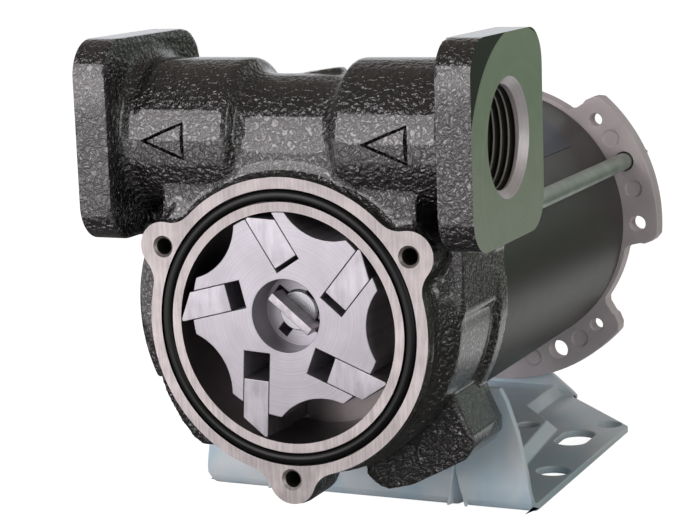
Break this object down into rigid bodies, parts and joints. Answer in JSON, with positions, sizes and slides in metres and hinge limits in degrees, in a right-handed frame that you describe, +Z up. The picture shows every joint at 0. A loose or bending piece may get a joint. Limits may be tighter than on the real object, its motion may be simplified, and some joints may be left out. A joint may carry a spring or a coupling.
{
  "type": "vane pump",
  "caption": "Electric vane pump for diesel fuel with its front cover off: square port flanges, offset rotor with bevelled sliding vanes, black motor and pressed foot bracket.",
  "frame": {"origin": "on the surface that the foot bracket stands on, under the middle of the part's bounding box", "axes": "+Z up; +Y from the open chamber back towards the motor, along the rotor's axis; +X towards the inlet port, to the right as the chamber is faced"},
  "size_m": [0.1248, 0.2144, 0.1505],
  "materials": {
    "black_enamel": "glossy enamel over coarse cast iron, machined faces bare",
    "sealing_rubber": "smooth",
    "sintered_steel": "fine ground, faintly lavender grey",
    "ground_steel": "ground",
    "seal_rubber": "smooth brown",
    "brass": "turned",
    "spring_steel": "drawn wire",
    "bearing_steel": "polished",
    "black_satin": "satin black",
    "ferrite": "matt grey ceramic",
    "lamination_steel": "stacked sheets",
    "copper_wire": "enamelled copper",
    "copper_bar": "turned copper",
    "insulating_card": "brown laminate",
    "carbon": "matt carbon",
    "die_cast_aluminium": "die cast, edges machined",
    "black_rubber": "matt",
    "zinc_steel": "zinc plated, faint green",
    "label_film": "plain dark film, bare",
    "blue_zinc": "bright blue-white zinc"
  },
  "bodies": {
    "housing": {"pump_body": "black_enamel", "cover_o_ring": "sealing_rubber", "shaft_seal": "seal_rubber", "bypass_retainer": "brass", "bypass_spring": "spring_steel", "motor_shell": "black_satin", "field_magnets": "ferrite", "end_cover": "die_cast_aluminium", "tie_rods": "zinc_steel", "front_bearing_outer_ring": "bearing_steel", "rear_bearing_outer_ring": "bearing_steel", "bearing_wave_washer": "spring_steel", "brush_plate": "insulating_card", "brush_spring_1": "spring_steel", "brush_spring_2": "spring_steel", "foot_bracket": "blue_zinc", "bracket_bolts": "blue_zinc", "bracket_washers": "blue_zinc", "blank_label": "label_film", "cable_grommet": "black_rubber"},
    "rotor_and_armature": {"rotor": "sintered_steel", "drive_key": "ground_steel", "motor_shaft": "ground_steel", "armature_core": "lamination_steel", "armature_windings": "copper_wire", "commutator": "copper_bar", "front_bearing_inner_ring": "bearing_steel", "front_bearing_balls": "bearing_steel", "rear_bearing_inner_ring": "bearing_steel", "rear_bearing_balls": "bearing_steel"},
    "thrust_washer": {"rear_thrust_washer": "ground_steel"},
    "vane_1_body": {"vane_1": "sintered_steel"},
    "vane_2_body": {"vane_2": "sintered_steel"},
    "vane_3_body": {"vane_3": "sintered_steel"},
    "vane_4_body": {"vane_4": "sintered_steel"},
    "vane_5_body": {"vane_5": "sintered_steel"},
    "bypass_poppet_body": {"bypass_poppet": "brass"},
    "brush_1_body": {"brush_1": "carbon"},
    "brush_2_body": {"brush_2": "carbon"}
  },
  "joints": [
    {"name": "rotor_spin", "type": "hinge", "parent": "housing", "child": "rotor_and_armature", "pos_m": [0, -0.08535, 0.0697], "axis": [0, 1, 0], "continuous": true},
    {"name": "vane_swing", "type": "hinge", "parent": "housing", "child": "thrust_washer", "pos_m": [0.00032, -0.08535, 0.06785], "axis": [0, 1, 0], "continuous": true},
    {"name": "vane_1_slide", "type": "hinge", "parent": "thrust_washer", "child": "vane_1_body", "pos_m": [0.00185, -0.08535, 0.06677], "axis": [0, 1, 0], "continuous": true},
    {"name": "vane_2_slide", "type": "hinge", "parent": "thrust_washer", "child": "vane_2_body", "pos_m": [-0.00156, -0.08535, 0.06782], "axis": [0, 1, 0], "continuous": true},
    {"name": "vane_3_slide", "type": "hinge", "parent": "thrust_washer", "child": "vane_3_body", "pos_m": [0.00182, -0.08535, 0.06898], "axis": [0, 1, 0], "continuous": true},
    {"name": "vane_4_slide", "type": "hinge", "parent": "thrust_washer", "child": "vane_4_body", "pos_m": [-0.00024, -0.08535, 0.06606], "axis": [0, 1, 0], "continuous": true},
    {"name": "vane_5_slide", "type": "hinge", "parent": "thrust_washer", "child": "vane_5_body", "pos_m": [-0.00029, -0.08535, 0.06963], "axis": [0, 1, 0], "continuous": true},
    {"name": "bypass_lift", "type": "slide", "parent": "housing", "child": "bypass_poppet_body", "axis": [1, 0, 0], "range_m": [0, 0.004], "stiffness_N_per_m": 600, "springref_m": -0.003, "deforming": ["bypass_spring"]},
    {"name": "brush_1_lift", "type": "slide", "parent": "housing", "child": "brush_1_body", "axis": [1, 0, 0], "range_m": [0, 0.004], "stiffness_N_per_m": 400, "springref_m": -0.004, "deforming": ["brush_spring_1"]},
    {"name": "brush_2_lift", "type": "slide", "parent": "housing", "child": "brush_2_body", "axis": [-1, 0, 0], "range_m": [0, 0.004], "stiffness_N_per_m": 400, "springref_m": -0.004, "deforming": ["brush_spring_2"]}
  ],
  "couplings": [
    {"joint": "vane_swing", "follows": "rotor_spin", "ratio": 2},
    {"joint": "vane_1_slide", "follows": "rotor_spin", "ratio": -1},
    {"joint": "vane_2_slide", "follows": "rotor_spin", "ratio": -1},
    {"joint": "vane_3_slide", "follows": "rotor_spin", "ratio": -1},
    {"joint": "vane_4_slide", "follows": "rotor_spin", "ratio": -1},
    {"joint": "vane_5_slide", "follows": "rotor_spin", "ratio": -1}
  ]
}
